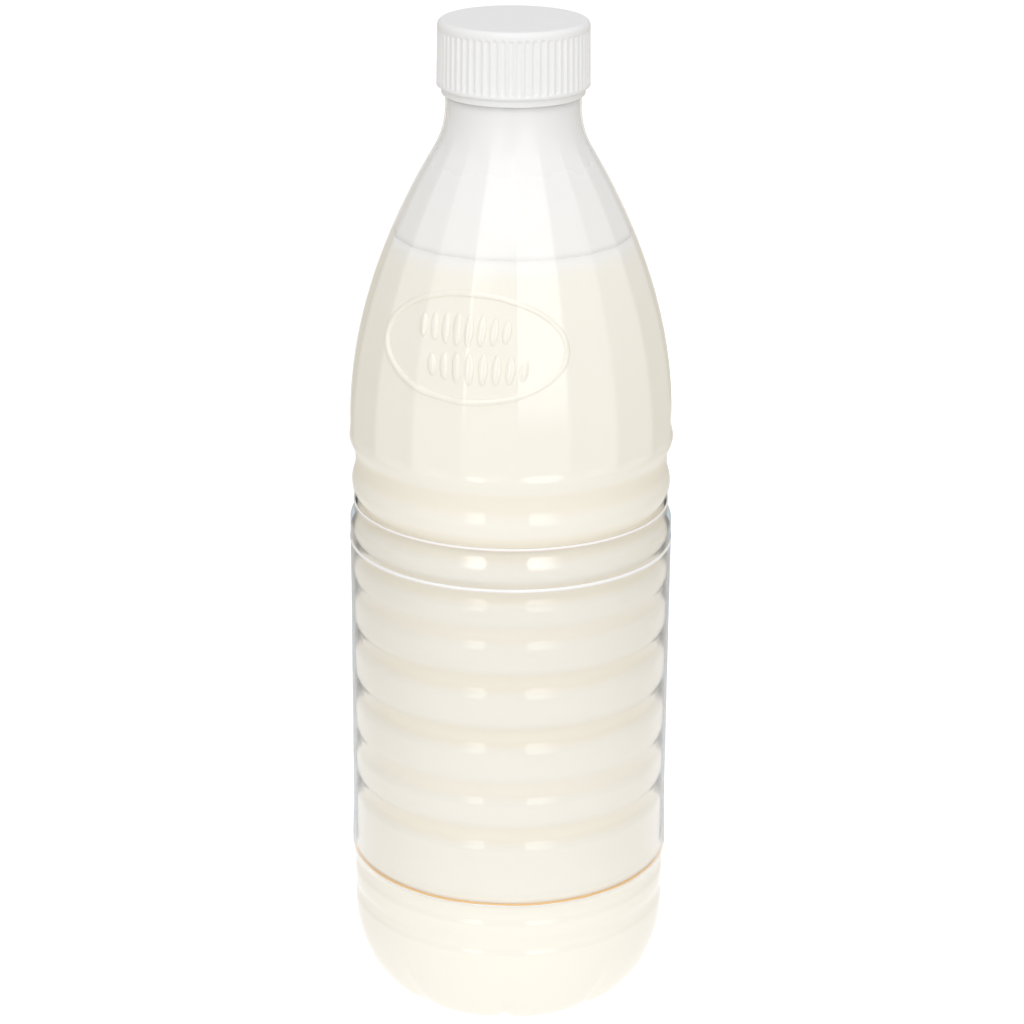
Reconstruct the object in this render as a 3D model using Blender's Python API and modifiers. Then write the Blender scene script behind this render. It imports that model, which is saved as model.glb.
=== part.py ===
"""Milk in a tall clear plastic bottle, with a knurled screw cap and a clear sleeve label.

Metres, +Z up. The origin is on the table, under the bottle's axis, and the front faces -Y.
An azimuth is measured from the front and grows towards +X. The wall is built from stations:
heights down the side, each with a radius, where the section may be round, a polygon of flat
shoulder panels, or round with the creases of the foot.
"""

from collections import namedtuple
from math import atan, cos, hypot, pi, radians, sin

import bmesh
import bpy

MM = 0.001

# Wall and fill
WALL = 0.8 * MM
CLEARANCE = 0.3 * MM
FILL_HEIGHT = 224.5 * MM

# Neck and shoulder
MOUTH_HEIGHT = 280.5 * MM
NECK_RADIUS = 18.35 * MM
FLARE_HEIGHT = 248.0 * MM
SHOULDER_FOOT = 171.0 * MM
SHOULDER_RADIUS = 45.0 * MM
SHOULDER_DRAW = 23.5 * MM
SHOULDER_POWER = 1.94
FLARE_STEPS = 4
SHOULDER_STEPS = 8

# Flat panels round the shoulder
PANELS = 19
FIRST_RIDGE = radians(1.6)
PANEL_FOOT = 169.4 * MM
PANEL_LEDGE = 1.4 * MM
PANEL_FADE = 6.0 * MM

# Round grooves down the side, behind the sleeve and above and below it
SLEEVED_RADIUS = 44.45 * MM
LOWER_RADIUS = 44.8 * MM
Groove = namedtuple("Groove", "height floor above below land steps")
GROOVES = (
    Groove(161.0 * MM, 43.4 * MM, 6.6 * MM, 6.6 * MM, 44.4 * MM, 2),
    Groove(148.0 * MM, 43.1 * MM, 5.6 * MM, 6.0 * MM, SLEEVED_RADIUS, 2),
    Groove(135.6 * MM, 43.1 * MM, 4.8 * MM, 5.8 * MM, SLEEVED_RADIUS, 1),
    Groove(121.8 * MM, 43.7 * MM, 4.2 * MM, 4.6 * MM, SLEEVED_RADIUS, 1),
    Groove(109.6 * MM, 43.1 * MM, 4.6 * MM, 5.2 * MM, SLEEVED_RADIUS, 1),
    Groove(94.6 * MM, 43.0 * MM, 4.6 * MM, 5.2 * MM, 43.6 * MM, 1),
    Groove(82.0 * MM, 43.6 * MM, 1.4 * MM, 6.4 * MM, SLEEVED_RADIUS, 1),
    Groove(64.2 * MM, 43.1 * MM, 4.4 * MM, 4.8 * MM, SLEEVED_RADIUS, 1),
    Groove(39.4 * MM, 44.2 * MM, 3.2 * MM, 3.2 * MM, LOWER_RADIUS, 1),
    Groove(30.2 * MM, 44.2 * MM, 3.2 * MM, 3.2 * MM, LOWER_RADIUS, 1),
)
STEP_OUT = 45.0 * MM

# Heel, foot and hollow under the base
HEEL_HEIGHT = 26.0 * MM
FOOT_RADIUS = 27.5 * MM
FOOT_INNER = 24.5 * MM
HOLLOW_HEIGHT = 3.6 * MM
HEEL_ANGLES = (18, 34, 48, 60, 71, 81, 90)
HOLLOW_RINGS = ((0.72, 0.45), (0.40, 0.86))
CREASES = 9
FIRST_CREASE = radians(-1.5)
CREASE_DEPTH = 1.3 * MM
CREASE_TOP = 22.0 * MM
CREASE_FULL = 7.0 * MM
CREASE_COLUMNS = (0, 5, 12.5, 20, 27.5, 35)

# Plain oval moulded on the shoulder, left of the front
OVAL_AZIMUTH = radians(-17.0)
OVAL_HEIGHT = 203.0 * MM
OVAL_HALF_ANGLE = radians(39.0)
OVAL_HALF_HEIGHT = 14.2 * MM
OVAL_BEAD = 0.55 * MM
OVAL_POINTS = 40

# Screw cap
CAP_TOP = 282.8 * MM
CAP_TOP_RADIUS = 18.7 * MM
CAP_RADIUS = 20.65 * MM
CAP_TAPER = 0.25 * MM
CAP_EDGE = 2.4 * MM
CAP_FOOT = 265.2 * MM
CAP_BORE = 18.75 * MM
CAP_ROOF = 281.0 * MM
BAND_RADIUS = 19.35 * MM
BAND_TOP = 264.4 * MM
BAND_FOOT = 262.9 * MM
KNURLS = 60
FIRST_KNURL = radians(1.15)
KNURL_DEPTH = 0.45 * MM
KNURL_SHARE = 0.3
BORE_COLUMNS = 40

# Sleeve label, open at both ends
SLEEVE_THICKNESS = 0.25 * MM
SLEEVE_TOP = 149.0 * MM
SLEEVE_NECK_FOOT = 146.6 * MM
SLEEVE_FLARE_FOOT = 143.2 * MM
SLEEVE_HEM = 58.0 * MM
SLEEVE_BOTTOM = 43.0 * MM
SLEEVE_NECK_RADIUS = 43.75 * MM
SLEEVE_RADIUS = 45.0 * MM
SLEEVE_HEM_RADIUS = 45.35 * MM
SLEEVE_COLUMNS = 56

# Colours and finishes: red, green, blue, alpha, then roughness
CLEAR_PLASTIC = ((0.93, 0.94, 0.95, 0.35), 0.08)
MILK_WHITE = ((0.93, 0.90, 0.80, 1.0), 0.35)
CAP_WHITE = ((0.90, 0.90, 0.89, 1.0), 0.38)
CLEAR_FILM = ((0.94, 0.94, 0.93, 0.3), 0.12)

SMOOTH_ANGLE = radians(35)
HALF_PANEL = pi / PANELS

Station = namedtuple("Station", "radius height flat crease", defaults=(0.0, 0.0))


def clear_scene():
    for obj in list(bpy.data.objects):
        bpy.data.objects.remove(obj, do_unlink=True)


def collection(name):
    made = bpy.data.collections.new(name)
    bpy.context.scene.collection.children.link(made)
    return made


def material(name, finish):
    color, roughness = finish
    made = bpy.data.materials.new(name)
    made.use_nodes = True
    made.diffuse_color = color
    shader = made.node_tree.nodes["Principled BSDF"]
    shader.inputs["Base Color"].default_value = (*color[:3], 1.0)
    shader.inputs["Alpha"].default_value = color[3]
    shader.inputs["Roughness"].default_value = roughness
    shader.inputs["Metallic"].default_value = 0.0
    return made


def blend(value):
    """0 to 1 with level ends."""
    value = min(1.0, max(0.0, value))
    return value * value * (3 - 2 * value)


def even_columns(count, first=0.0):
    return [first + 2 * pi * index / count for index in range(count)]


def crease_columns():
    return [
        FIRST_CREASE + 2 * pi * lobe / CREASES + radians(offset)
        for lobe in range(CREASES)
        for offset in CREASE_COLUMNS
    ]


def panel_ratio(azimuth):
    """A flat panel's radius over its ridges' radius."""
    turned = (azimuth - FIRST_RIDGE) % (2 * HALF_PANEL)
    return cos(HALF_PANEL) / cos(turned - HALF_PANEL)


def crease_share(azimuth):
    """1 in a crease's line and 0 from the next column on."""
    turned = (azimuth - FIRST_CREASE + pi / CREASES) % (2 * pi / CREASES) - pi / CREASES
    return max(0.0, 1.0 - abs(turned) / radians(CREASE_COLUMNS[1]))


def shoulder_radius(height):
    rise = (height - SHOULDER_FOOT) / (FLARE_HEIGHT - SHOULDER_FOOT)
    return SHOULDER_RADIUS - SHOULDER_DRAW * rise**SHOULDER_POWER


def flare_stations():
    """The fillet that turns the shoulder's slope into the upright neck, from the top down."""
    slope = SHOULDER_POWER * SHOULDER_DRAW / (FLARE_HEIGHT - SHOULDER_FOOT)
    turn = atan(slope)
    radius = (shoulder_radius(FLARE_HEIGHT) - NECK_RADIUS) / (1 - cos(turn))
    top = FLARE_HEIGHT + radius * sin(turn)
    stations = []
    for step in range(FLARE_STEPS):
        angle = turn * step / FLARE_STEPS
        height = top - radius * sin(angle)
        flat = blend((FLARE_HEIGHT + PANEL_FADE - height) / PANEL_FADE)
        stations.append(Station(NECK_RADIUS + radius * (1 - cos(angle)), height, flat))
    return stations


def shoulder_stations(top):
    """The panelled shoulder, down to the ledge where its panels end."""
    stations = []
    for step in range(SHOULDER_STEPS + 1):
        height = FLARE_HEIGHT + (SHOULDER_FOOT - FLARE_HEIGHT) * step / SHOULDER_STEPS
        if height <= top:
            stations.append(Station(shoulder_radius(height), height, 1.0))
    stations.append(Station(SHOULDER_RADIUS, PANEL_FOOT, 1.0))
    stations.append(Station(SHOULDER_RADIUS, PANEL_FOOT - PANEL_LEDGE))
    return stations


def groove_stations(groove, above):
    """A groove from its upper lip, where the wall's radius is above, to its lower one."""
    stations = []
    for step in range(2 * groove.steps + 1):
        across = 1 - step / groove.steps
        land, reach = (above, groove.above) if across > 0 else (groove.land, groove.below)
        radius = groove.floor + (land - groove.floor) * (1 - cos(pi * across)) / 2
        stations.append(Station(radius, groove.height + reach * across))
    return stations


def ribbed_stations():
    """All grooves, with the step out to the wider wall below the sleeve."""
    stations = []
    above = SHOULDER_RADIUS
    for groove in GROOVES:
        if groove.land == LOWER_RADIUS and above == SLEEVED_RADIUS:
            stations.append(Station(SLEEVED_RADIUS, STEP_OUT))
            above = LOWER_RADIUS
        stations += groove_stations(groove, above)
        above = groove.land
    return stations


def base_stations():
    """The rounded heel, the flat feet and the hollow under the base."""
    stations = []
    for degrees in HEEL_ANGLES:
        angle = radians(degrees)
        radius = FOOT_RADIUS + (LOWER_RADIUS - FOOT_RADIUS) * cos(angle)
        height = HEEL_HEIGHT * (1 - sin(angle))
        crease = CREASE_DEPTH * blend((CREASE_TOP - height) / (CREASE_TOP - CREASE_FULL))
        stations.append(Station(radius, height, 0.0, crease))
    stations.append(Station(FOOT_INNER, 0.0, 0.0, CREASE_DEPTH))
    for across, up in HOLLOW_RINGS:
        crease = CREASE_DEPTH * (1 - up)
        stations.append(Station(FOOT_INNER * across, HOLLOW_HEIGHT * up, 0.0, crease))
    stations.append(Station(0.0, HOLLOW_HEIGHT))
    return stations


def slopes(stations):
    """The outward direction of the wall at each station, in its own upright plane."""
    found = []
    for index in range(len(stations)):
        before = stations[max(index - 1, 0)]
        after = stations[min(index + 1, len(stations) - 1)]
        out = before.height - after.height
        up = after.radius - before.radius
        length = hypot(out, up)
        found.append((out / length, up / length))
    return found


def section(station, slope, columns, inset=0.0):
    """One ring of points, each with its azimuth. The axis gives a single point."""
    out, up = slope
    if station.radius == 0.0:
        return [(0.0, (0.0, 0.0, station.height + inset))]
    ring = []
    for azimuth in columns:
        depth = inset + station.crease * crease_share(azimuth)
        ratio = 1 - station.flat * (1 - panel_ratio(azimuth))
        radius = station.radius * ratio - out * depth
        height = station.height - up * depth
        ring.append((azimuth, (radius * sin(azimuth), -radius * cos(azimuth), height)))
    return ring


def turned(radius, height, columns, wave=None):
    """A ring of a turned piece. A wave takes the azimuth and gives how far the ring dips."""
    if radius == 0.0:
        return [(0.0, (0.0, 0.0, height))]
    ring = []
    for azimuth in columns:
        reach = radius - (wave(azimuth) if wave else 0.0)
        ring.append((azimuth, (reach * sin(azimuth), -reach * cos(azimuth), height)))
    return ring


def azimuth_after(ring, index):
    """The azimuth of the point after this one, counted on past a full turn."""
    turns, place = divmod(index + 1, len(ring))
    return ring[place][0] + 2 * pi * turns


def stitch(mesh, upper, lower):
    """Faces between two rings, which may differ in their numbers of points or be one point."""
    if len(upper) == len(lower):
        for index in range(len(upper)):
            after = (index + 1) % len(upper)
            corners = (upper[index], lower[index], lower[after], upper[after])
            mesh.faces.new([vertex for _, vertex in corners])
        return
    high_end, low_end = (len(ring) if len(ring) > 1 else 0 for ring in (upper, lower))
    high = low = 0
    while high < high_end or low < low_end:
        corners = [upper[high % len(upper)][1], lower[low % len(lower)][1]]
        upper_is_next = azimuth_after(upper, high) <= azimuth_after(lower, low)
        if low == low_end or (high < high_end and upper_is_next):
            high += 1
            corners.append(upper[high % len(upper)][1])
        else:
            low += 1
            corners.append(lower[low % len(lower)][1])
        mesh.faces.new(corners)


def loft(name, rings, finish, home):
    """A surface through the rings, from the top down the outside."""
    mesh = bmesh.new()
    made = [[(azimuth, mesh.verts.new(point)) for azimuth, point in ring] for ring in rings]
    for upper, lower in zip(made, made[1:]):
        stitch(mesh, upper, lower)
    return finished(name, mesh, finish, home)


def finished(name, mesh, finish, home):
    data = bpy.data.meshes.new(name)
    mesh.to_mesh(data)
    mesh.free()
    data.shade_smooth()
    data.set_sharp_from_angle(angle=SMOOTH_ANGLE)
    data.materials.append(material(name, finish))
    obj = bpy.data.objects.new(name, data)
    home.objects.link(obj)
    return obj


def give_wall(obj, thickness):
    wall = obj.modifiers.new("wall", "SOLIDIFY")
    wall.thickness = thickness
    wall.offset = -1.0


def wall_stations(top):
    stations = [] if top < FLARE_HEIGHT else [Station(NECK_RADIUS, MOUTH_HEIGHT)] + flare_stations()
    return stations + shoulder_stations(top) + ribbed_stations() + base_stations()


def oval_bead(home):
    """The raised border of a plain oval field, as a bead half sunk in the shoulder."""
    curve = bpy.data.curves.new("oval_bead", "CURVE")
    curve.dimensions = "3D"
    curve.bevel_depth = OVAL_BEAD
    curve.bevel_resolution = 1
    line = curve.splines.new("POLY")
    line.use_cyclic_u = True
    line.points.add(OVAL_POINTS - 1)
    for index, point in enumerate(line.points):
        angle = 2 * pi * index / OVAL_POINTS
        azimuth = OVAL_AZIMUTH + OVAL_HALF_ANGLE * cos(angle)
        height = OVAL_HEIGHT + OVAL_HALF_HEIGHT * sin(angle)
        radius = shoulder_radius(height) * panel_ratio(azimuth)
        point.co = (radius * sin(azimuth), -radius * cos(azimuth), height, 1.0)
    drawn = bpy.data.objects.new("oval_bead_line", curve)
    home.objects.link(drawn)
    graph = bpy.context.evaluated_depsgraph_get()
    data = bpy.data.meshes.new_from_object(drawn.evaluated_get(graph))
    bpy.data.objects.remove(drawn)
    bead = bpy.data.objects.new("oval_bead", data)
    bead.hide_render = True
    bead.display_type = "WIRE"
    home.objects.link(bead)
    return bead


def make_bottle(home, cutters):
    stations = wall_stations(MOUTH_HEIGHT)
    sides = even_columns(2 * PANELS, FIRST_RIDGE)
    lobes = crease_columns()
    base = len(base_stations())
    rings = []
    for index, (station, slope) in enumerate(zip(stations, slopes(stations))):
        columns = lobes if index >= len(stations) - base else sides
        rings.append(section(station, slope, columns))
    bottle = loft("bottle", rings, CLEAR_PLASTIC, home)
    give_wall(bottle, WALL)
    join = bottle.modifiers.new("oval", "BOOLEAN")
    join.operation = "UNION"
    join.object = oval_bead(cutters)
    return bottle


def make_milk(home):
    """The milk, up to its level, a clearance inside the wall and clear of the creases."""
    stations = wall_stations(FILL_HEIGHT)
    stations.insert(0, Station(shoulder_radius(FILL_HEIGHT), FILL_HEIGHT, 1.0))
    directions = slopes(stations)
    directions[0] = (1 / directions[0][0], 0.0)
    ridges = even_columns(PANELS, FIRST_RIDGE)
    rings = [[(0.0, (0.0, 0.0, FILL_HEIGHT))]]
    for station, slope in zip(stations, directions):
        inset = WALL + CLEARANCE + station.crease
        rings.append(section(station._replace(crease=0.0), slope, ridges, inset))
    return loft("milk", rings, MILK_WHITE, home)


def knurl_columns():
    pitch = 2 * pi / KNURLS
    return [
        FIRST_KNURL + pitch * (knurl + offset)
        for knurl in range(KNURLS)
        for offset in (0, KNURL_SHARE, 1 - KNURL_SHARE)
    ]


def knurl_dip(azimuth):
    """0 on a knurl's crest and the full depth in the flat between two."""
    pitch = 2 * pi / KNURLS
    turned_by = (azimuth - FIRST_KNURL + pitch / 2) % pitch - pitch / 2
    return KNURL_DEPTH * min(1.0, abs(turned_by) / (KNURL_SHARE * pitch))


def make_cap(home):
    plain = even_columns(KNURLS, FIRST_KNURL)
    knurled = knurl_columns()
    bore = even_columns(BORE_COLUMNS)
    shoulder = CAP_RADIUS - CAP_TAPER - KNURL_DEPTH
    rings = [
        turned(0.0, CAP_TOP, plain),
        turned(CAP_TOP_RADIUS, CAP_TOP, plain),
        turned(shoulder - 0.3 * MM, CAP_TOP - 0.4 * CAP_EDGE, plain),
        turned(shoulder, CAP_TOP - 0.8 * CAP_EDGE, plain),
        turned(CAP_RADIUS - CAP_TAPER, CAP_TOP - CAP_EDGE, knurled, knurl_dip),
        turned(CAP_RADIUS, CAP_FOOT, knurled, knurl_dip),
        turned(BAND_RADIUS, BAND_TOP, plain),
        turned(BAND_RADIUS, BAND_FOOT, plain),
        turned(CAP_BORE, BAND_FOOT, bore),
        turned(CAP_BORE, CAP_ROOF, bore),
        turned(0.0, CAP_ROOF, bore),
    ]
    return loft("cap", rings, CAP_WHITE, home)


def make_sleeve(home):
    columns = even_columns(SLEEVE_COLUMNS)
    outline = (
        (SLEEVE_NECK_RADIUS, SLEEVE_TOP),
        (SLEEVE_NECK_RADIUS, SLEEVE_NECK_FOOT),
        (SLEEVE_RADIUS, SLEEVE_FLARE_FOOT),
        (SLEEVE_RADIUS, SLEEVE_HEM),
        (SLEEVE_HEM_RADIUS, SLEEVE_BOTTOM),
    )
    rings = [turned(radius, height, columns) for radius, height in outline]
    sleeve = loft("label_sleeve", rings, CLEAR_FILM, home)
    give_wall(sleeve, SLEEVE_THICKNESS)
    return sleeve


def main():
    clear_scene()
    home = collection("milk_bottle")
    cutters = collection("cutters")
    make_bottle(home, cutters)
    make_milk(home)
    make_cap(home)
    make_sleeve(home)


main()
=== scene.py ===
from collections import namedtuple
from math import atan, cos, hypot, pi, radians, sin

import bpy
import numpy as np
from mathutils import Euler, Matrix, Vector


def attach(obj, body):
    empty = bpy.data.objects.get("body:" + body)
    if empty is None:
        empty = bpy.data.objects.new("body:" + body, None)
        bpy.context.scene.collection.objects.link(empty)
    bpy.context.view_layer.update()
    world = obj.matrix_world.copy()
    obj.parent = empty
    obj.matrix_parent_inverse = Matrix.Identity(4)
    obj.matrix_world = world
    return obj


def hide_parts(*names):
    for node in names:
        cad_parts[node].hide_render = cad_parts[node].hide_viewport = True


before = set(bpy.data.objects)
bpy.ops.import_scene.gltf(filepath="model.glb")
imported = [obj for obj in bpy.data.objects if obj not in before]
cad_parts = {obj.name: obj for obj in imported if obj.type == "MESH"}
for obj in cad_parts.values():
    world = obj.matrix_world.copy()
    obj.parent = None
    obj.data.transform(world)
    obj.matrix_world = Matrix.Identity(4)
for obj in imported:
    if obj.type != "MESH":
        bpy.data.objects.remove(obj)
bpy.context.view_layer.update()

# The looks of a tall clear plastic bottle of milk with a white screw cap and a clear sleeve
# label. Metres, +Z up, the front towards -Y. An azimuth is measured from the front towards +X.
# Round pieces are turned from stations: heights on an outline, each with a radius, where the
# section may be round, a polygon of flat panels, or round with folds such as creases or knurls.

MM = 0.001

# Wall and fill, as in the solids
WALL = 0.8 * MM
FILL_HEIGHT = 224.5 * MM
MILK_INSET = 0.3 * MM

# Neck and shoulder
MOUTH_HEIGHT = 280.5 * MM
NECK_RADIUS = 18.35 * MM
FLARE_HEIGHT = 248.0 * MM
SHOULDER_FOOT = 171.0 * MM
SHOULDER_RADIUS = 45.0 * MM
SHOULDER_DRAW = 23.5 * MM
SHOULDER_POWER = 1.94

# Flat panels round the shoulder
PANELS = 19
FIRST_RIDGE = radians(1.6)
PANEL_FOOT = 169.8 * MM
PANEL_LEDGE = 2.4 * MM
PANEL_FADE = 6.0 * MM

# Round grooves down the side
SLEEVED_RADIUS = 44.45 * MM
LOWER_RADIUS = 44.8 * MM
Groove = namedtuple("Groove", "height floor above below land")
GROOVES = (
    Groove(161.0 * MM, 43.4 * MM, 6.4 * MM, 6.4 * MM, 44.4 * MM),
    Groove(148.0 * MM, 43.1 * MM, 5.6 * MM, 6.0 * MM, SLEEVED_RADIUS),
    Groove(135.2 * MM, 43.0 * MM, 4.8 * MM, 4.6 * MM, SLEEVED_RADIUS),
    Groove(123.4 * MM, 43.5 * MM, 4.4 * MM, 4.2 * MM, SLEEVED_RADIUS),
    Groove(109.4 * MM, 43.1 * MM, 4.6 * MM, 4.6 * MM, SLEEVED_RADIUS),
    Groove(93.2 * MM, 43.0 * MM, 5.0 * MM, 4.8 * MM, SLEEVED_RADIUS),
    Groove(77.4 * MM, 43.5 * MM, 4.8 * MM, 4.6 * MM, SLEEVED_RADIUS),
    Groove(63.8 * MM, 43.2 * MM, 4.6 * MM, 4.6 * MM, SLEEVED_RADIUS),
    Groove(39.4 * MM, 44.1 * MM, 3.4 * MM, 3.2 * MM, LOWER_RADIUS),
    Groove(30.2 * MM, 44.1 * MM, 3.4 * MM, 3.2 * MM, LOWER_RADIUS),
)
FLOOR_SHARE = 0.2
STEP_OUT = 45.0 * MM
REPEAT_GAP = 0.02 * MM

# Heel, foot and hollow under the base
HEEL_HEIGHT = 26.0 * MM
FOOT_RADIUS = 27.5 * MM
FOOT_INNER = 24.5 * MM
HOLLOW_HEIGHT = 3.6 * MM
CREASES = 9
FIRST_CREASE = radians(-1.5)
CREASE_DEPTH = 1.3 * MM
CREASE_WIDTH = radians(3.2)
CREASE_TOP = 22.0 * MM
CREASE_FULL = 7.0 * MM

# Oval moulded on the shoulder, left of the front, with two rows of plain grains in it
OVAL_AZIMUTH = radians(-17.0)
OVAL_HEIGHT = 203.0 * MM
OVAL_HALF_ANGLE = radians(38.0)
OVAL_HALF_HEIGHT = 13.8 * MM
OVAL_BEAD = 0.5 * MM
OVAL_BEAD_HALF = 0.8 * MM
GRAIN_RELIEF = 0.6 * MM
FLAT_RADIUS = 40.0 * MM
Row = namedtuple("Row", "height first last grains tall wide")
GRAIN_ROWS = (
    Row(4.6 * MM, -13.5 * MM, 10.5 * MM, 8, 4.3 * MM, 1.25 * MM),
    Row(-5.2 * MM, -9.5 * MM, 15.0 * MM, 8, 4.3 * MM, 1.25 * MM),
)
GRAIN_LEAN = 9.0

# Screw cap
CAP_TOP = 282.8 * MM
CAP_RADIUS = 20.65 * MM
CAP_TAPER = 0.25 * MM
CAP_EDGE = 1.7 * MM
CAP_CREASE = radians(22)
CAP_FOOT = 265.2 * MM
CAP_BORE = 18.75 * MM
CAP_ROOF = 281.0 * MM
BAND_RADIUS = 19.35 * MM
BAND_TOP = 264.4 * MM
BAND_FOOT = 262.9 * MM
SKIRT_ROUNDING = 0.35 * MM
KNURLS = 60
FIRST_KNURL = radians(1.15)
KNURL_DEPTH = 0.45 * MM
FLUTE_SHARE = 0.66
FLUTE_TOP = 280.6 * MM
FLUTE_ARCH = 1.1 * MM
FLUTE_LIFT = 0.7 * MM
FLUTE_END = 0.5 * MM

# Sleeve label
FILM = 0.12 * MM
SLEEVE_TOP = 149.0 * MM
SLEEVE_BOTTOM = 43.0 * MM
SLEEVE_OUTLINE = (
    (43.75 * MM, SLEEVE_TOP),
    (43.75 * MM, 146.6 * MM),
    (45.0 * MM, 143.2 * MM),
    (45.0 * MM, 58.0 * MM),
    (45.35 * MM, SLEEVE_BOTTOM),
)
TEAR_LINE = 137.2 * MM
RIPPLE = 0.25 * MM
RIPPLE_SCALE = 50.0
PRINT_START = radians(80.0)

# The photograph's camera
LENS = 107.2
SENSOR = 36.0
CAMERA_PLACE = Vector((0.0, -0.805, 0.435))
LOOK_DOWN = radians(19.9)
LOOK_ASIDE = radians(-0.024)
ROLL = radians(0.37)

WHITE = (1.0, 1.0, 1.0, 1.0)
# The next colour is painted shade: a darker, yellower milk laid into the grooves.
MILK_GROOVE_SHADE = (0.94, 0.885, 0.76, 1.0)
MILK_BODY = (0.955, 0.92, 0.825, 1.0)
MILK_PALE = (0.96, 0.93, 0.845, 1.0)
HAZE_LOW = (0.95, 0.94, 0.92, 1.0)
HAZE_HIGH = (0.94, 0.936, 0.936, 1.0)
HAZE_TOP = 268.0 * MM
LEVEL_BLEND = (218.0 * MM, 227.0 * MM)


class Field:
    """A socket of a node tree. Arithmetic on it adds Math nodes to the same tree."""

    def __init__(self, graph, socket):
        self.graph = graph
        self.socket = socket

    def out(self, name):
        """Another output of the same node."""
        return Field(self.graph, self.socket.node.outputs[name])

    def math(self, operation, *values):
        return self.graph.node("ShaderNodeMath", {"operation": operation}, dict(enumerate(values)))

    def __add__(self, other):
        return self.math("ADD", self, other)

    def __radd__(self, other):
        return self.math("ADD", other, self)

    def __sub__(self, other):
        return self.math("SUBTRACT", self, other)

    def __rsub__(self, other):
        return self.math("SUBTRACT", other, self)

    def __mul__(self, other):
        return self.math("MULTIPLY", self, other)

    def __rmul__(self, other):
        return self.math("MULTIPLY", other, self)

    def __truediv__(self, other):
        return self.math("DIVIDE", self, other)

    def __rtruediv__(self, other):
        return self.math("DIVIDE", other, self)

    def __pow__(self, other):
        return self.math("POWER", self, other)

    def __neg__(self):
        return self.math("MULTIPLY", self, -1.0)

    def __abs__(self):
        return self.math("ABSOLUTE", self)

    def __mod__(self, other):
        return self.math("FLOORED_MODULO", self, other)


class Graph:
    """A node tree being written."""

    def __init__(self, tree):
        self.tree = tree
        tree.nodes.clear()

    def node(self, kind, settings=None, sockets=None, out=None):
        """Any node: its settings first, then the values or links of its sockets."""
        made = self.tree.nodes.new(kind)
        for name, value in (settings or {}).items():
            if name == "stops":
                self.set_stops(made.color_ramp, value)
            else:
                setattr(made, name, value)
        for name, value in (sockets or {}).items():
            socket = self.in_use(made.inputs, name)
            if isinstance(value, Field):
                self.tree.links.new(value.socket, socket)
            else:
                socket.default_value = value
        if not made.outputs:
            return None
        return Field(self, self.in_use(made.outputs, 0 if out is None else out))

    @staticmethod
    def in_use(sockets, name):
        """The socket with that number or name, of those that the settings leave in use."""
        if isinstance(name, int):
            return [socket for socket in sockets if socket.enabled][name]
        return next(socket for socket in sockets if socket.name == name and socket.enabled)

    @staticmethod
    def set_stops(ramp, stops):
        while len(ramp.elements) < len(stops):
            ramp.elements.new(0.5)
        for element, (place, color) in zip(ramp.elements, stops):
            element.position = place
            element.color = color


def blend(value):
    """0 to 1 with level ends."""
    value = min(1.0, max(0.0, value))
    return value * value * (3 - 2 * value)


# Outlines

Station = namedtuple(
    "Station", "radius height flat fold spread inset", defaults=(0.0, 0.0, 1.0, 0.0)
)
Placed = namedtuple("Placed", Station._fields + ("out", "up"))


def parts(count, detail):
    """Fractions from 0 to 1 in about count steps, or fewer for less detail."""
    steps = max(2, round(count * detail))
    return [step / steps for step in range(steps + 1)]


def shoulder_radius(height):
    rise = (height - SHOULDER_FOOT) / (FLARE_HEIGHT - SHOULDER_FOOT)
    return SHOULDER_RADIUS - SHOULDER_DRAW * rise**SHOULDER_POWER


def flare_stations(detail):
    """The fillet that turns the shoulder's slope into the upright neck, from the top down."""
    turn = atan(SHOULDER_POWER * SHOULDER_DRAW / (FLARE_HEIGHT - SHOULDER_FOOT))
    radius = (shoulder_radius(FLARE_HEIGHT) - NECK_RADIUS) / (1 - cos(turn))
    top = FLARE_HEIGHT + radius * sin(turn)
    stations = []
    for part in parts(12, detail)[:-1]:
        height = top - radius * sin(turn * part)
        flat = blend((FLARE_HEIGHT + PANEL_FADE - height) / PANEL_FADE)
        reach = NECK_RADIUS + radius * (1 - cos(turn * part))
        stations.append(Station(reach, height, flat))
    return stations


def shoulder_stations(top, detail):
    """The panelled shoulder, down to the ledge where its panels end."""
    top = min(top, FLARE_HEIGHT)
    stations = []
    for part in parts(40, detail):
        height = top + (SHOULDER_FOOT - top) * part
        stations.append(Station(shoulder_radius(height), height, 1.0))
    for part in parts(8, detail):
        height = PANEL_FOOT - PANEL_LEDGE * part
        stations.append(Station(SHOULDER_RADIUS, height, 1 - blend(part)))
    return stations


def groove_stations(groove, above, detail):
    """A groove from its upper lip, where the wall's radius is above, to its lower one."""
    stations = []
    for part in parts(12, detail):
        across = 1 - 2 * part
        land, reach = (above, groove.above) if across > 0 else (groove.land, groove.below)
        climb = max(0.0, (abs(across) - FLOOR_SHARE) / (1 - FLOOR_SHARE))
        radius = groove.floor + (land - groove.floor) * (1 - cos(pi * climb)) / 2
        stations.append(Station(radius, groove.height + reach * across))
    return stations


def grooved_stations(detail):
    """All grooves, with the step out to the wider wall below the sleeve."""
    stations = []
    above = SHOULDER_RADIUS
    for groove in GROOVES:
        if groove.land == LOWER_RADIUS and above == SLEEVED_RADIUS:
            for part in parts(4, detail):
                radius = SLEEVED_RADIUS + (LOWER_RADIUS - SLEEVED_RADIUS) * blend(part)
                stations.append(Station(radius, STEP_OUT + 2 * MM - 2 * MM * part))
            above = LOWER_RADIUS
        stations += groove_stations(groove, above, detail)
        above = groove.land
    return stations


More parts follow.
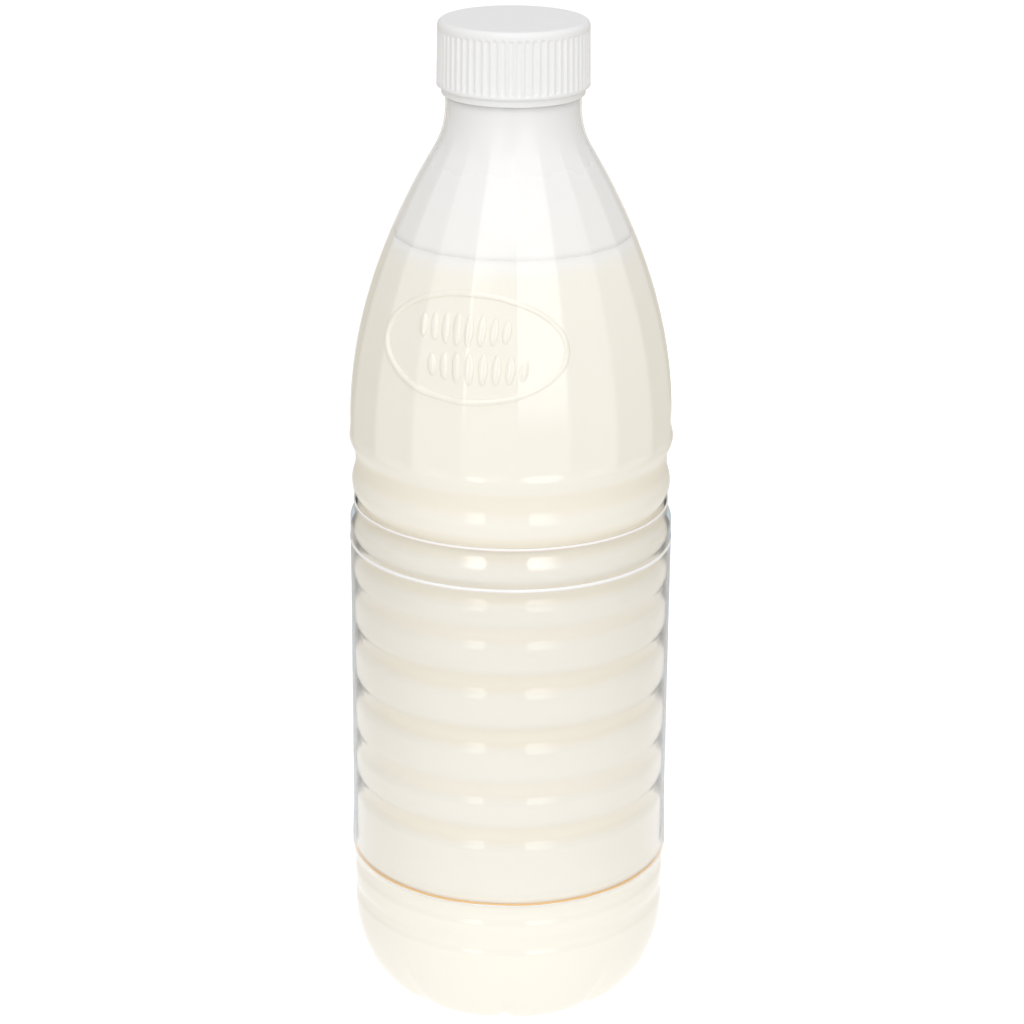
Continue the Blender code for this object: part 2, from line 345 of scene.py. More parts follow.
def base_stations(detail):
    """The rounded heel, the flat feet and the hollow under the base."""
    stations = []
    for part in parts(22, detail)[1:]:
        angle = pi / 2 * part
        radius = FOOT_RADIUS + (LOWER_RADIUS - FOOT_RADIUS) * cos(angle)
        height = HEEL_HEIGHT * (1 - sin(angle))
        fold = CREASE_DEPTH * blend((CREASE_TOP - height) / (CREASE_TOP - CREASE_FULL))
        stations.append(Station(radius, height, 0.0, fold))
    stations.append(Station(FOOT_INNER, 0.0, 0.0, CREASE_DEPTH))
    for part in parts(8, detail)[1:]:
        rise = sin(pi / 2 * part)
        radius = FOOT_INNER * cos(pi / 2 * part) if part < 1 else 0.0
        stations.append(Station(radius, HOLLOW_HEIGHT * rise, 0.0, CREASE_DEPTH * (1 - rise)))
    return stations


def wall_stations(top, detail):
    """The bottle's outline from a height down to the middle of its base."""
    stations = []
    if top > FLARE_HEIGHT:
        stations = [Station(NECK_RADIUS, top)] + flare_stations(detail)
    stations += shoulder_stations(top, detail) + grooved_stations(detail) + base_stations(detail)
    return without_repeats(stations)


def without_repeats(stations):
    """Each station once, where one stretch ends on the place at which the next begins."""
    kept = stations[:1]
    for station in stations[1:]:
        last = kept[-1]
        if hypot(station.radius - last.radius, station.height - last.height) > REPEAT_GAP:
            kept.append(station)
    return kept


def placed(stations, inset=0.0):
    """The stations with the outward direction of the outline at each, and one inset for all."""
    found = []
    for index, station in enumerate(stations):
        before = stations[max(index - 1, 0)]
        after = stations[min(index + 1, len(stations) - 1)]
        out = before.height - after.height
        up = after.radius - before.radius
        length = hypot(out, up)
        direction = (out / length, up / length) if station.radius else (0.0, -1.0)
        fields = station._replace(inset=station.inset + inset)
        found.append(Placed(*fields, *direction))
    return found


def loop(outer, inner):
    """One closed outline from an outer one, from the bottom up, and an inner one, back down."""
    closed = outer[::-1] + inner
    return closed + closed[:1]


# Geometry Nodes


def geometry_graph(name, inputs):
    """A Geometry Nodes tree with its named inputs, and a dictionary of their fields."""
    graph = Graph(bpy.data.node_groups.new(name, "GeometryNodeTree"))
    interface = graph.tree.interface
    interface.new_socket(name="Geometry", in_out="INPUT", socket_type="NodeSocketGeometry")
    for label, kind in inputs.items():
        interface.new_socket(name=label, in_out="INPUT", socket_type="NodeSocket" + kind)
    interface.new_socket(name="Geometry", in_out="OUTPUT", socket_type="NodeSocketGeometry")
    source = graph.node("NodeGroupInput")
    return graph, {label: source.out(label) for label in ("Geometry", *inputs)}


def end_graph(graph, geometry, material):
    """Smooth, realized and with its material."""
    smooth = graph.node("GeometryNodeSetShadeSmooth", None, {0: geometry})
    real = graph.node("GeometryNodeRealizeInstances", None, {0: smooth})
    dressed = graph.node("GeometryNodeSetMaterial", None, {"Geometry": real, "Material": material})
    graph.node("NodeGroupOutput", None, {0: dressed})
    return graph.tree


def turning_tree():
    """Turns an outline, given as loose points, into a closed piece round the axis."""
    graph, given = geometry_graph(
        "turned_piece",
        {
            "Columns": "Int",
            "Panels": "Float",
            "First ridge": "Float",
            "Folds": "Float",
            "First fold": "Float",
            "Fold width": "Float",
            "Fold power": "Float",
            "Ripple": "Float",
            "Ripple scale": "Float",
            "Finish": "Material",
        },
    )
    outline = given["Geometry"]
    count = graph.node("GeometryNodeAttributeDomainSize", {"component": "MESH"}, {0: outline})
    sizes = {"Vertices X": given["Columns"] + 1, "Vertices Y": count}
    grid = graph.node("GeometryNodeMeshGrid", None, sizes)
    index = graph.node("GeometryNodeInputIndex")
    ring = index % count
    column = (index - ring) / count

    def sampled(name):
        value = graph.node(
            "GeometryNodeInputNamedAttribute", {"data_type": "FLOAT"}, {"Name": name}
        )
        settings = {"data_type": "FLOAT", "domain": "POINT"}
        return graph.node(
            "GeometryNodeSampleIndex", settings, {"Geometry": outline, "Value": value, "Index": ring}
        )

    azimuth = column * (2 * pi) / given["Columns"]
    ratio = 1 - sampled("flat") * (1 - panel_ratio(azimuth, given))

    half_lobe = pi / given["Folds"]
    from_fold = (azimuth - given["First fold"] + half_lobe) % (2 * half_lobe) - half_lobe
    fold_width = given["Fold width"] * sampled("spread")
    share = exponential(-((abs(from_fold) / fold_width) ** given["Fold power"]))

    depth = sampled("inset") + sampled("fold") * share
    radius = sampled("radius") * ratio - sampled("out") * depth
    height = sampled("height") - sampled("up") * depth

    still = around(graph, radius, azimuth, height)
    swell = graph.node(
        "ShaderNodeTexNoise", None, {"Vector": still, "Scale": given["Ripple scale"], "Detail": 1.0}
    )
    swing = (swell - 0.5) * given["Ripple"]
    place = around(graph, radius + swing, azimuth, height)
    shaped = graph.node("GeometryNodeSetPosition", None, {"Geometry": grid, "Position": place})
    closed = graph.node("GeometryNodeMergeByDistance", None, {"Geometry": shaped, "Distance": 2e-6})
    return end_graph(graph, closed, given["Finish"])


def panel_ratio(azimuth, given):
    """How far in the flat panels lie at an azimuth, as a share of the round outline's radius."""
    half_panel = pi / given["Panels"]
    across_panel = (azimuth - given["First ridge"]) % (2 * half_panel) - half_panel
    return cosine(half_panel) / cosine(across_panel)


def around(graph, radius, azimuth, height):
    """The place at a radius, azimuth and height."""
    sockets = {"X": radius * sine(azimuth), "Y": -radius * cosine(azimuth), "Z": height}
    return graph.node("ShaderNodeCombineXYZ", None, sockets)


def relief_tree():
    """An oval bead and grains, one at each point, laid out flat and wrapped on the shoulder."""
    graph, given = geometry_graph(
        "shoulder_relief",
        {
            "Panels": "Float",
            "First ridge": "Float",
            "Lift": "Float",
            "Bead": "Float",
            "Grain": "Float",
            "Finish": "Material",
        },
    )
    oval = graph.node("GeometryNodeCurvePrimitiveCircle", None, {"Resolution": 240, "Radius": 1.0})
    half_width = OVAL_HALF_ANGLE * FLAT_RADIUS
    stretch = {"Geometry": oval, "Scale": (half_width, OVAL_HALF_HEIGHT, 1.0)}
    oval = graph.node("GeometryNodeTransform", None, stretch)
    section = {"Resolution": 16, "Radius": OVAL_BEAD_HALF}
    section = graph.node("GeometryNodeCurvePrimitiveCircle", None, section)
    bead = graph.node("GeometryNodeCurveToMesh", None, {"Curve": oval, "Profile Curve": section})
    flatten = (1.0, 1.0, given["Bead"] / OVAL_BEAD_HALF)
    bead = scaled(graph, bead, flatten)

    def stored(name):
        return graph.node(
            "GeometryNodeInputNamedAttribute", {"data_type": "FLOAT"}, {"Name": name}
        )

    ball = {"Segments": 24, "Rings": 14, "Radius": 1.0}
    ball = graph.node("GeometryNodeMeshUVSphere", None, ball)
    points = graph.node("GeometryNodeMeshToPoints", None, {"Mesh": given["Geometry"]})
    size = {"X": stored("wide"), "Y": stored("tall"), "Z": given["Grain"]}
    turn = {"X": 0.0, "Y": 0.0, "Z": stored("lean")}
    grains = graph.node(
        "GeometryNodeInstanceOnPoints",
        None,
        {
            "Points": points,
            "Instance": ball,
            "Rotation": graph.node("ShaderNodeCombineXYZ", None, turn),
            "Scale": graph.node("ShaderNodeCombineXYZ", None, size),
        },
    )
    grains = graph.node("GeometryNodeRealizeInstances", None, {0: grains})
    flat = graph.node("GeometryNodeJoinGeometry", None, {0: bead})
    graph.tree.links.new(grains.socket, flat.socket.node.inputs[0])

    across = graph.node("ShaderNodeSeparateXYZ", None, {0: graph.node("GeometryNodeInputPosition")})
    azimuth = OVAL_AZIMUTH + across / FLAT_RADIUS
    height = OVAL_HEIGHT + across.out("Y")
    rise = (height - SHOULDER_FOOT) / (FLARE_HEIGHT - SHOULDER_FOOT)
    radius = SHOULDER_RADIUS - SHOULDER_DRAW * rise**SHOULDER_POWER
    reach = radius * panel_ratio(azimuth, given) + given["Lift"] + across.out("Z")
    place = around(graph, reach, azimuth, height)
    wrapped = graph.node("GeometryNodeSetPosition", None, {"Geometry": flat, "Position": place})
    return end_graph(graph, wrapped, given["Finish"])


def scaled(graph, geometry, shares):
    """The geometry with each coordinate multiplied by its share."""
    across = graph.node("ShaderNodeSeparateXYZ", None, {0: graph.node("GeometryNodeInputPosition")})
    axes = {axis: across.out(axis) * share for axis, share in zip("XYZ", shares)}
    place = graph.node("ShaderNodeCombineXYZ", None, axes)
    return graph.node("GeometryNodeSetPosition", None, {"Geometry": geometry, "Position": place})


def sine(angle):
    return angle.math("SINE", angle)


def cosine(angle):
    return angle.math("COSINE", angle)


def exponential(power):
    return power.math("EXPONENT", power)


def most(value, limit):
    return value.math("MAXIMUM", value, limit)


def ramp(value, start, end):
    """0 where the value is at its start and 1 at its end, with level ends."""
    settings = {"interpolation_type": "SMOOTHSTEP"}
    sockets = {"Value": value, "From Min": start, "From Max": end}
    return value.graph.node("ShaderNodeMapRange", settings, sockets)


def grown(name, source, tree, sizes):
    """A plain mesh object from a source mesh and a Geometry Nodes tree with its inputs set."""
    carrier = bpy.data.objects.new(name + "_source", source)
    bpy.context.scene.collection.objects.link(carrier)
    modifier = carrier.modifiers.new("nodes", "NODES")
    modifier.node_group = tree
    for item in tree.interface.items_tree:
        if item.in_out == "INPUT" and item.name in sizes:
            modifier[item.identifier] = sizes[item.name]
    graph = bpy.context.evaluated_depsgraph_get()
    data = bpy.data.meshes.new_from_object(carrier.evaluated_get(graph))
    bpy.data.objects.remove(carrier)
    data.name = name
    piece = bpy.data.objects.new(name, data)
    bpy.context.scene.collection.objects.link(piece)
    return piece


def turned(name, outline, finish, columns, **sizes):
    """A piece turned from placed stations."""
    data = bpy.data.meshes.new(name + "_outline")
    data.from_pydata([(station.radius, 0.0, station.height) for station in outline], [], [])
    for field in Placed._fields:
        values = [getattr(station, field) for station in outline]
        data.attributes.new(field, "FLOAT", "POINT").data.foreach_set("value", values)
    plain = {
        "Columns": columns,
        "Panels": float(PANELS),
        "First ridge": FIRST_RIDGE,
        "Folds": float(CREASES),
        "First fold": FIRST_CREASE,
        "Fold width": CREASE_WIDTH,
        "Fold power": 1.5,
        "Ripple": 0.0,
        "Ripple scale": 60.0,
        "Finish": finish,
    }
    return grown(name, data, TURNING, {**plain, **sizes})


# Finishes


def finish_graph(name):
    material = bpy.data.materials.new(name)
    material.use_nodes = True
    graph = Graph(material.node_tree)
    return material, graph, graph.node("ShaderNodeTexCoord", None, None, "Object")


def see_through(graph, head_on, settings, printed=None):
    """Clear but for its reflections, which grow towards a grazing view, and for any print."""
    facing = graph.node("ShaderNodeLayerWeight", None, {"Blend": 0.5}, "Facing")
    share = head_on + (1 - head_on) * facing**5.0
    if printed:
        share = most(share, printed)
    clear = graph.node("ShaderNodeBsdfTransparent")
    gloss = graph.node("ShaderNodeBsdfPrincipled", None, settings)
    surface = graph.node("ShaderNodeMixShader", None, {0: share, 1: clear, 2: gloss})
    graph.node("ShaderNodeOutputMaterial", None, {"Surface": surface})


def noise(graph, place, scale, detail=2.0):
    sockets = {"Vector": place, "Scale": scale, "Detail": detail}
    return graph.node("ShaderNodeTexNoise", None, sockets)


def mixed(graph, factor, first, second):
    sockets = {"Factor": factor, "A": first, "B": second}
    return graph.node("ShaderNodeMix", {"data_type": "RGBA"}, sockets)


def plain_surface(graph, settings):
    """A finish of one Principled shader."""
    surface = graph.node("ShaderNodeBsdfPrincipled", None, settings)
    graph.node("ShaderNodeOutputMaterial", None, {"Surface": surface})


def bump(graph, height, strength, distance):
    sockets = {"Strength": strength, "Distance": distance, "Height": height}
    return graph.node("ShaderNodeBump", None, sockets)


def clear_plastic():
    """Blown clear plastic: glossy, with the slow waves that blowing leaves."""
    material, graph, place = finish_graph("clear_bottle_plastic")
    waves = noise(graph, place, 45.0, 1.0)
    height = graph.node("ShaderNodeSeparateXYZ", None, {0: place}, "Z")
    dull = ramp(height, 225.0 * MM, 250.0 * MM)
    settings = {
        "Base Color": WHITE,
        "Metallic": 1.0,
        "Roughness": 0.05 + 0.05 * noise(graph, place, 180.0) + 0.22 * dull,
        "Normal": bump(graph, waves, 0.25, 0.4 * MM),
    }
    see_through(graph, 0.05, settings)
    return material


def milk_white():
    """Cream-white milk, with painted shade in the grooves, where it turns deeper and yellower, and
    greyer just under its level.
    """
    material, graph, place = finish_graph("milk_behind_wall")
    cloud = noise(graph, place, 25.0)
    x = graph.node("ShaderNodeSeparateXYZ", None, {0: place}, "X")
    y = x.out("Y")
    height = x.out("Z")
    # Painted shade: between the heel and the shoulder the milk turns deeper and yellower where the
    # wall's radius falls into a groove.
    body = ramp(height, 24.0 * MM, 28.0 * MM) * ramp(height, 166.0 * MM, 163.0 * MM)
    hollow = body * ramp((x * x + y * y) ** 0.5, 44.0 * MM, 42.8 * MM)
    color = mixed(graph, cloud, MILK_BODY, MILK_PALE)
    color = mixed(graph, hollow, color, MILK_GROOVE_SHADE)
    color = mixed(graph, ramp(height, *LEVEL_BLEND), color, HAZE_LOW)
    settings = {"Base Color": color, "Roughness": 0.55 + 0.1 * cloud, "Specular IOR Level": 0.2}
    plain_surface(graph, settings)
    return material


def milk_haze():
    """The thin milk film that clings to the inside of the wall above the level."""
    material, graph, place = finish_graph("milk_haze_in_shoulder")
    height = graph.node("ShaderNodeSeparateXYZ", None, {0: place}, "Z")
    streaks = noise(graph, place, 60.0, 3.0)
    thinning = ramp(height + 6.0 * MM * (streaks - 0.5), FILL_HEIGHT, HAZE_TOP)
    cover = 0.985 - 0.03 * thinning + 0.03 * (streaks - 0.5)
    under = mixed(graph, ramp(height, *LEVEL_BLEND), MILK_PALE, HAZE_LOW)
    clear = graph.node("ShaderNodeBsdfTransparent")
    settings = {
        "Base Color": mixed(graph, thinning, under, HAZE_HIGH),
        "Roughness": 0.6 + 0.1 * streaks,
        "Specular IOR Level": 0.1,
    }
    film = graph.node("ShaderNodeBsdfPrincipled", None, settings)
    surface = graph.node("ShaderNodeMixShader", None, {0: cover, 1: clear, 2: film})
    graph.node("ShaderNodeOutputMaterial", None, {"Surface": surface})
    return material


def cap_plastic():
    """Satin white moulded plastic."""
    material, graph, place = finish_graph("white_cap_plastic")
    grain = noise(graph, place, 900.0)
    tone = noise(graph, place, 60.0)
    settings = {
        "Base Color": mixed(graph, tone, (0.875, 0.875, 0.875, 1.0), (0.895, 0.895, 0.895, 1.0)),
        "Roughness": 0.32 + 0.12 * grain,
        "Normal": bump(graph, grain, 0.1, 0.03 * MM),
    }
    plain_surface(graph, settings)
    return material


def clear_film():
    """Thin shrink film: clear and slightly wrinkled in front, printed round the back."""
    material, graph, place = finish_graph("clear_sleeve_film")
    x = graph.node("ShaderNodeSeparateXYZ", None, {0: place}, "X")
    height = x.out("Z")
    azimuth = x.math("ARCTAN2", x, -x.out("Y"))
    upright = graph.node("ShaderNodeCombineXYZ", None, {"X": 0.0, "Y": 0.0, "Z": height})
    sway = 0.05 * (noise(graph, upright, 60.0) - 0.5)
    wide = {"Vector": place, "Scale": (1.0, 1.0, 4.0)}
    stretched = graph.node("ShaderNodeMapping", None, wide)
    wrinkles = noise(graph, stretched, 60.0, 3.0)
    printed = ramp(abs(azimuth) + sway, PRINT_START, PRINT_START + 0.02)
    printed = printed * ramp(height, 44.0 * MM, 44.4 * MM) * ramp(height, 146.4 * MM, 146.0 * MM)
    block = ramp(azimuth, PRINT_START + 0.05, PRINT_START + 0.06) * ramp(azimuth, 2.60, 2.59)
    block = block * ramp(height, 112.0 * MM, 112.2 * MM) * ramp(height, 140.2 * MM, 140.0 * MM)
    ink = mixed(graph, block, (0.70, 0.83, 0.94, 1.0), (0.10, 0.30, 0.62, 1.0))
    settings = {
        "Base Color": mixed(graph, printed, WHITE, ink),
        "Metallic": 1.0 - printed,
        "Roughness": 0.06 + 0.08 * noise(graph, place, 220.0) + 0.2 * printed,
        "Normal": bump(graph, wrinkles, 0.25, 0.4 * MM),
    }
    see_through(graph, 0.04, settings, 0.9 * printed)
    return material


def cut_edge(name, height, half, upper, lower):
    """A cut or perforated edge of the film, where it turns white, over another tone."""
    material, graph, place = finish_graph(name)
    along = graph.node("ShaderNodeSeparateXYZ", None, {0: place}, "Z")
    broken = noise(graph, place, 90.0, 3.0)
    turn = height + half * (broken - 0.5)
    settings = {
        "Base Color": mixed(graph, ramp(along, turn - 0.2 * half, turn + 0.2 * half), lower, upper),
        "Roughness": 0.3 + 0.2 * broken,
    }
    plain_surface(graph, settings)
    return material


# Pieces


def belongs(piece, node):
    """The piece rides on the one body and stands for a solid."""
    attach(piece, "root")
    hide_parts(node)
    return piece


def make_wall(finish):
    outside = placed(wall_stations(MOUTH_HEIGHT, 1.0))
    inside = placed(wall_stations(MOUTH_HEIGHT, 0.2), WALL)
    outline = outside[::-1] + inside
    return belongs(turned("bottle_wall", outline, finish, 342), "bottle")


def make_milk(finish):
    """The milk, which reaches just into the wall, up to its level."""
    side = placed(wall_stations(FILL_HEIGHT + 0.7 * MM, 0.7), MILK_INSET)
    inner = shoulder_radius(FILL_HEIGHT) - MILK_INSET
    surface = []
    for part in parts(8, 1.0)[1:]:
        radius = inner * (1 - part) ** 2
        rise = 0.7 * MM * (radius / inner) ** 12
        level = Station(radius, FILL_HEIGHT + rise, 1.0)
        surface.append(Placed(*level, out=0.0, up=1.0))
    outline = side[::-1] + surface
    return belongs(turned("milk_fill", outline, finish, 342), "milk")


def make_haze(finish):
    """The milk film on the inside of the empty shoulder, up into the neck."""
    stations = wall_stations(HAZE_TOP, 1.0)
    stations = [station for station in stations if station.height > FILL_HEIGHT - 1.0 * MM]
    outline = loop(placed(stations, MILK_INSET + 0.15 * MM), placed(stations, WALL + 0.2 * MM))
    return belongs(turned("milk_haze", outline, finish, 342), "milk")


def make_relief(name, lift, finish, node):
    """The moulded oval with its rows of plain grains, which lean like those of an ear."""
    places, grains = [], []
    for row in GRAIN_ROWS:
        middle = (row.first + row.last) / 2
        for part in parts(row.grains - 1, 1.0):
            across = row.first + (row.last - row.first) * part
            away = (across - middle) / (row.last - middle)
            places.append((across, row.height, 0.0))
            grains.append((row.wide, row.tall * (1 - 0.28 * away**2), -GRAIN_LEAN * away / 57.3))
    data = bpy.data.meshes.new(name + "_places")
    data.from_pydata(places, [], [])
    for field, values in zip(("wide", "tall", "lean"), zip(*grains)):
        data.attributes.new(field, "FLOAT", "POINT").data.foreach_set("value", values)
    sizes = {
        "Panels": float(PANELS),
        "First ridge": FIRST_RIDGE,
        "Lift": lift,
        "Bead": OVAL_BEAD,
        "Grain": GRAIN_RELIEF,
        "Finish": finish,
    }
    return belongs(grown(name, data, RELIEF, sizes), node)


def rounded_corner(radius, height, size, first, last):
    """Stations round a corner of the outline, between two angles from the outward direction."""
    stations = []
    for part in parts(4, 1.0):
        angle = first + (last - first) * part
        stations.append(Station(radius + size * cos(angle), height + size * sin(angle)))
    return stations


def flute_stations():
    """Down the cap's side. The flutes between the knurls are arched on top and fade at the foot."""
    stations = []
    foot = CAP_FOOT + FLUTE_LIFT
    for part in parts(8, 1.0):
        height = FLUTE_TOP - FLUTE_ARCH * part
        spread = max(0.02, (1 - (1 - part) ** 2) ** 0.5)
        stations.append((height, KNURL_DEPTH * blend(4 * part), spread))
    for part in parts(5, 1.0)[1:]:
        height = FLUTE_TOP - FLUTE_ARCH + (foot + FLUTE_END - FLUTE_TOP + FLUTE_ARCH) * part
        stations.append((height, KNURL_DEPTH, 1.0))
    for part in parts(4, 1.0)[1:]:
        height = foot + FLUTE_END * (1 - part)
        stations.append((height, KNURL_DEPTH * (1 - blend(part)), 1.0))
    slope = CAP_TAPER / (CAP_TOP - CAP_EDGE - CAP_FOOT)
    return [
        Station(CAP_RADIUS - slope * (height - CAP_FOOT), height, 0.0, depth, spread)
        for height, depth, spread in stations
    ]


def make_cap(finish):
    """The fluted cap with its rounded rim, bore and band."""
    rim = CAP_RADIUS - CAP_TAPER
    crease = rim - CAP_EDGE * (1 - sin(CAP_CREASE))
    stations = [Station(0.0, CAP_TOP), Station(crease - 1.0 * MM, CAP_TOP)]
    stations.append(Station(crease - 0.06 * MM, CAP_TOP))
    for part in parts(12, 1.0):
        angle = CAP_CREASE + (pi / 2 - CAP_CREASE) * part
        radius = rim - CAP_EDGE * (1 - sin(angle))
        drop = CAP_EDGE * (cos(CAP_CREASE) - cos(angle))
        stations.append(Station(radius, CAP_TOP - drop))
    stations += flute_stations()
    edge = SKIRT_ROUNDING
    stations += rounded_corner(CAP_RADIUS - edge, CAP_FOOT + edge, edge, 0.0, -1.0)
    stations += rounded_corner(BAND_RADIUS - edge, BAND_TOP, edge, 0.7, 0.0)
    stations += rounded_corner(BAND_RADIUS - edge, BAND_FOOT + edge, edge, 0.0, -pi / 2)
    stations += [
        Station(CAP_BORE + 0.05 * MM, BAND_FOOT),
        Station(CAP_BORE, BAND_FOOT + 0.05 * MM),
        Station(CAP_BORE, CAP_ROOF - 0.2 * MM),
        Station(CAP_BORE - 0.2 * MM, CAP_ROOF),
        Station(0.0, CAP_ROOF),
    ]
    sizes = {
        "Folds": float(KNURLS),
        "First fold": FIRST_KNURL + pi / KNURLS,
        "Fold width": FLUTE_SHARE * pi / KNURLS,
        "Fold power": 5.0,
    }
    piece = turned("screw_cap", placed(without_repeats(stations)), finish, 10 * KNURLS, **sizes)
    return belongs(piece, "cap")


def make_sleeve(finish):
    """The film, a thin closed tube that hangs a little loose over the ribs."""
    corners = SLEEVE_OUTLINE
    stations = []
    for (radius, height), (next_radius, next_height) in zip(corners, corners[1:]):
        steps = max(3, round((height - next_height) / (1.0 * MM)))
        for step in range(steps):
            part = step / steps
            stations.append(
                Station(
                    radius + (next_radius - radius) * blend(part),
                    height + (next_height - height) * part,
                )
            )
    stations.append(Station(*corners[-1]))
    outline = loop(placed(stations), placed(stations, FILM))
    sizes = {"Ripple": RIPPLE, "Ripple scale": RIPPLE_SCALE}
    piece = turned("sleeve_film", outline, finish, 300, **sizes)
    return belongs(piece, "label_sleeve")


def make_edge_line(name, radius, height, half, finish):
    """A thin bead of whitened film, half of it sunk in the film."""
    outline = []
    for part in parts(12, 1.0):
        angle = 2 * pi * part
        around_bead = Station(radius + 0.6 * half * cos(angle), height + half * sin(angle))
        outline.append(Placed(*around_bead, out=1.0, up=0.0))
    sizes = {"Ripple": RIPPLE, "Ripple scale": RIPPLE_SCALE}
    piece = turned(name, outline, finish, 300, **sizes)
    return belongs(piece, "label_sleeve")


def make_edge_lines():
    """The film's top edge, its tear line and its bottom edge, with a painted shadow along the bottom
    edge.
    """
    white = (0.97, 0.96, 0.955, 1.0)
    pink = (0.93, 0.80, 0.74, 1.0)
    mauve = (0.90, 0.83, 0.83, 1.0)
    # Painted shadow: an orange tone for the thin line where the film's bottom edge shades and bends
    # the light.
    painted_edge_shadow = (0.88, 0.55, 0.22, 1.0)
    top = SLEEVE_TOP - 0.45 * MM
    finish = cut_edge("whitened_top_edge", top - 0.1 * MM, 0.4 * MM, white, pink)
    make_edge_line("sleeve_top_edge", 43.85 * MM, top, 0.4 * MM, finish)
    finish = cut_edge("whitened_tear_line", TEAR_LINE - 0.2 * MM, 0.5 * MM, white, mauve)
    make_edge_line("sleeve_tear_line", 44.9 * MM, TEAR_LINE, 0.5 * MM, finish)
    # The bottom edge is white below and painted shadow above it.
    low = SLEEVE_BOTTOM + 0.5 * MM
    finish = cut_edge("whitened_bottom_edge", low, 0.5 * MM, painted_edge_shadow, white)
    make_edge_line("sleeve_bottom_edge", 44.95 * MM, low, 0.5 * MM, finish)


# Studio


def make_camera():
    data = bpy.data.cameras.new("photo_camera")
    data.lens = LENS
    data.sensor_width = SENSOR
    camera = bpy.data.objects.new("photo_camera", data)
    aim = Euler((pi / 2 - LOOK_DOWN, 0.0, LOOK_ASIDE)).to_matrix().to_4x4()
    camera.matrix_world = Matrix.Translation(CAMERA_PLACE) @ aim @ Matrix.Rotation(ROLL, 4, "Z")
    bpy.context.scene.collection.objects.link(camera)
    bpy.context.scene.camera = camera


def softbox(name, azimuth, elevation, distance, width, height, radiance, fades):
    """A rectangular softbox that faces the bottle's middle.

    Its left side, right side and ends fade over a share of its width or height.
    """
    left, right, ends = fades
    material, graph, place = finish_graph(name)
    x = graph.node("ShaderNodeSeparateXYZ", None, {0: place}, "X")
    glow = ramp(x, -width / 2, (left - 0.5) * width) * ramp(x, width / 2, (0.5 - right) * width)
    glow = glow * ramp(abs(x.out("Y")), height / 2, (0.5 - ends) * height)
    settings = {
        "Base Color": (0.0, 0.0, 0.0, 1.0),
        "Specular IOR Level": 0.0,
        "Emission Color": WHITE,
        "Emission Strength": radiance,
    }
    clear = graph.node("ShaderNodeBsdfTransparent")
    lit = graph.node("ShaderNodeBsdfPrincipled", None, settings)
    surface = graph.node("ShaderNodeMixShader", None, {0: glow, 1: clear, 2: lit})
    graph.node("ShaderNodeOutputMaterial", None, {"Surface": surface})
    corners = [
        (side * width / 2, end * height / 2, 0.0)
        for side, end in ((-1, -1), (-1, 1), (1, 1), (1, -1))
    ]
    data = bpy.data.meshes.new(name)
    data.from_pydata(corners, [], [(0, 1, 2, 3)])
    data.materials.append(material)
    box = bpy.data.objects.new(name, data)
    middle = Vector((0.0, 0.0, 0.15))
    reach = distance * cos(elevation)
    away = Vector((reach * sin(azimuth), -reach * cos(azimuth), distance * sin(elevation)))
    box.rotation_euler = away.to_track_quat("Z", "Y").to_euler()
    box.location = middle + away
    box.visible_camera = False
    bpy.context.scene.collection.objects.link(box)


def flat_ring(name, inner, outer, height, material, sides=96):
    """A flat ring on the table's plane, or a disc where the inner radius is zero."""
    points = []
    for radius in (inner, outer):
        for side in range(sides):
            angle = 2 * pi * side / sides
            points.append((radius * sin(angle), -radius * cos(angle), height))
    faces = []
    for side in range(sides):
        after = (side + 1) % sides
        faces.append((side, after, sides + after, sides + side)[::-1])
    data = bpy.data.meshes.new(name)
    data.from_pydata(points, [], faces)
    data.materials.append(material)
    made = bpy.data.objects.new(name, data)
    bpy.context.scene.collection.objects.link(made)
    return made


def make_floor():
    material, graph, place = finish_graph("pale_floor")
    speckle = noise(graph, place, 30.0)
    settings = {
        "Base Color": mixed(graph, speckle, (0.92, 0.92, 0.92, 1.0), (0.94, 0.94, 0.94, 1.0)),
        "Roughness": 0.8,
        "Specular IOR Level": 0.0,
        "Emission Color": WHITE,
        "Emission Strength": 0.55,
    }
    plain_surface(graph, settings)
    floor = flat_ring("floor", 0.0001, 14.0, -0.0001, material)
    floor.visible_diffuse = False
    floor.visible_glossy = False


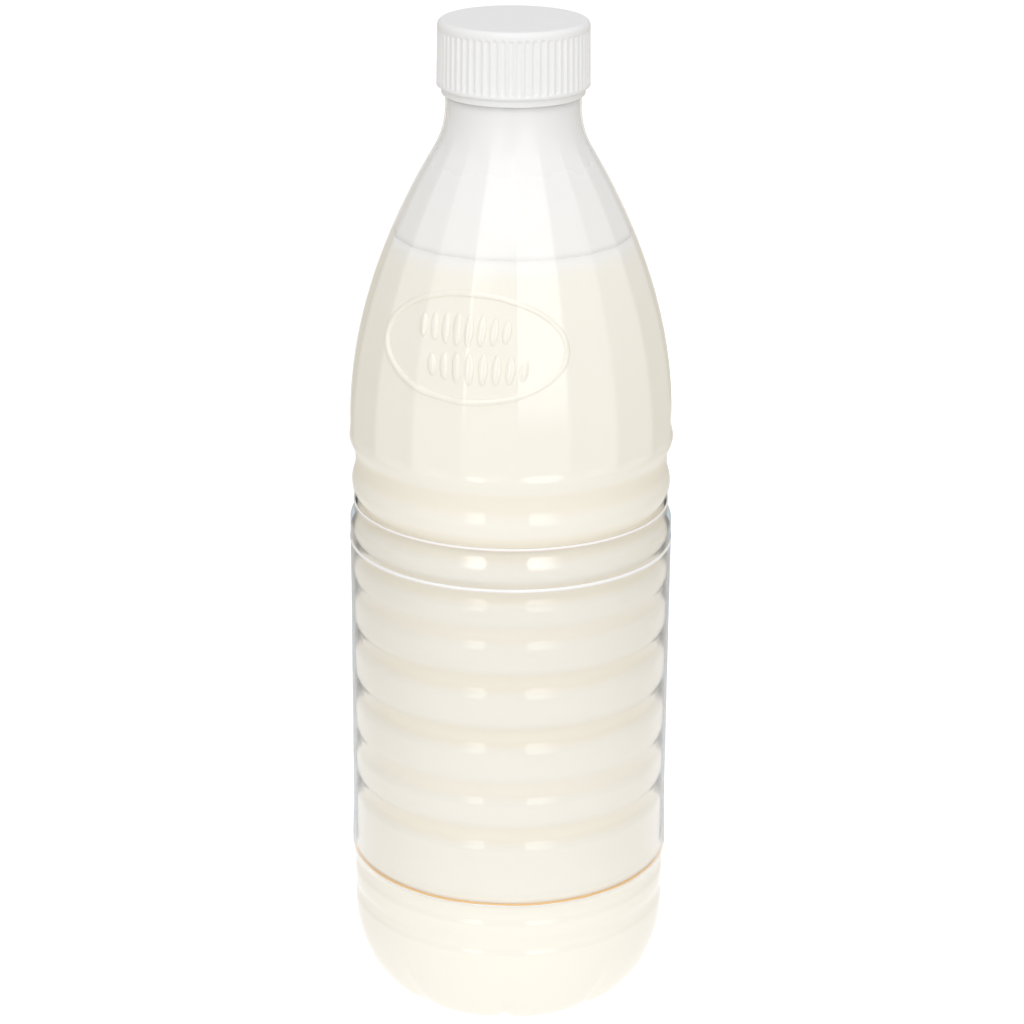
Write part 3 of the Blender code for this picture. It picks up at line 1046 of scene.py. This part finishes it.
def make_table_glow():
    """What the bottle sees of the table: white close by, dimmer and warmer farther off."""
    material, graph, place = finish_graph("table_glow")
    x = graph.node("ShaderNodeSeparateXYZ", None, {0: place}, "X")
    y = x.out("Y")
    reach = (x * x + y * y) ** 0.5
    front = ramp(-y / reach, 0.0, 0.8)
    far = mixed(graph, front, (0.50, 0.47, 0.41, 1.0), (0.56, 0.56, 0.55, 1.0))
    settings = {
        "Base Color": (0.0, 0.0, 0.0, 1.0),
        "Specular IOR Level": 0.0,
        "Emission Color": mixed(graph, ramp(reach, 0.08, 0.6), (0.84, 0.83, 0.81, 1.0), far),
        "Emission Strength": 1.3,
    }
    plain_surface(graph, settings)
    glow = flat_ring("table_glow", 0.0001, 6.0, -0.0002, material)
    glow.visible_camera = False
    glow.visible_transmission = False
    glow.visible_shadow = False


def make_lights():
    world = bpy.data.worlds.new("studio_air")
    world.use_nodes = True
    world.node_tree.nodes["Background"].inputs["Color"].default_value = WHITE
    world.node_tree.nodes["Background"].inputs["Strength"].default_value = 0.62
    bpy.context.scene.world = world
    softbox("softbox_right", radians(26), radians(17), 1.2, 0.58, 1.15, 2.6, (0.04, 0.75, 0.32))
    softbox("softbox_left", radians(-27), radians(17), 1.2, 0.40, 1.15, 2.6, (0.7, 0.05, 0.32))
    softbox("front_fill", 0.0, radians(48), 1.6, 2.4, 1.2, 2.5, (0.4, 0.4, 0.45))
    softbox("side_fill_left", radians(-80), radians(20), 1.5, 1.2, 1.2, 0.5, (0.4, 0.4, 0.4))
    softbox("softbox_over", 0.0, radians(84), 1.3, 1.3, 1.3, 1.4, (0.3, 0.3, 0.3))
    bpy.context.scene.view_settings.view_transform = "Standard"


TURNING = turning_tree()
RELIEF = relief_tree()
plastic = clear_plastic()
white_milk = milk_white()
make_camera()
make_wall(plastic)
make_milk(white_milk)
make_haze(milk_haze())
make_relief("oval_relief", 0.0, plastic, "bottle")
make_relief("milk_in_relief", -MILK_INSET, white_milk, "milk")
make_cap(cap_plastic())
make_sleeve(clear_film())
make_edge_lines()
make_floor()
make_table_glow()
make_lights()
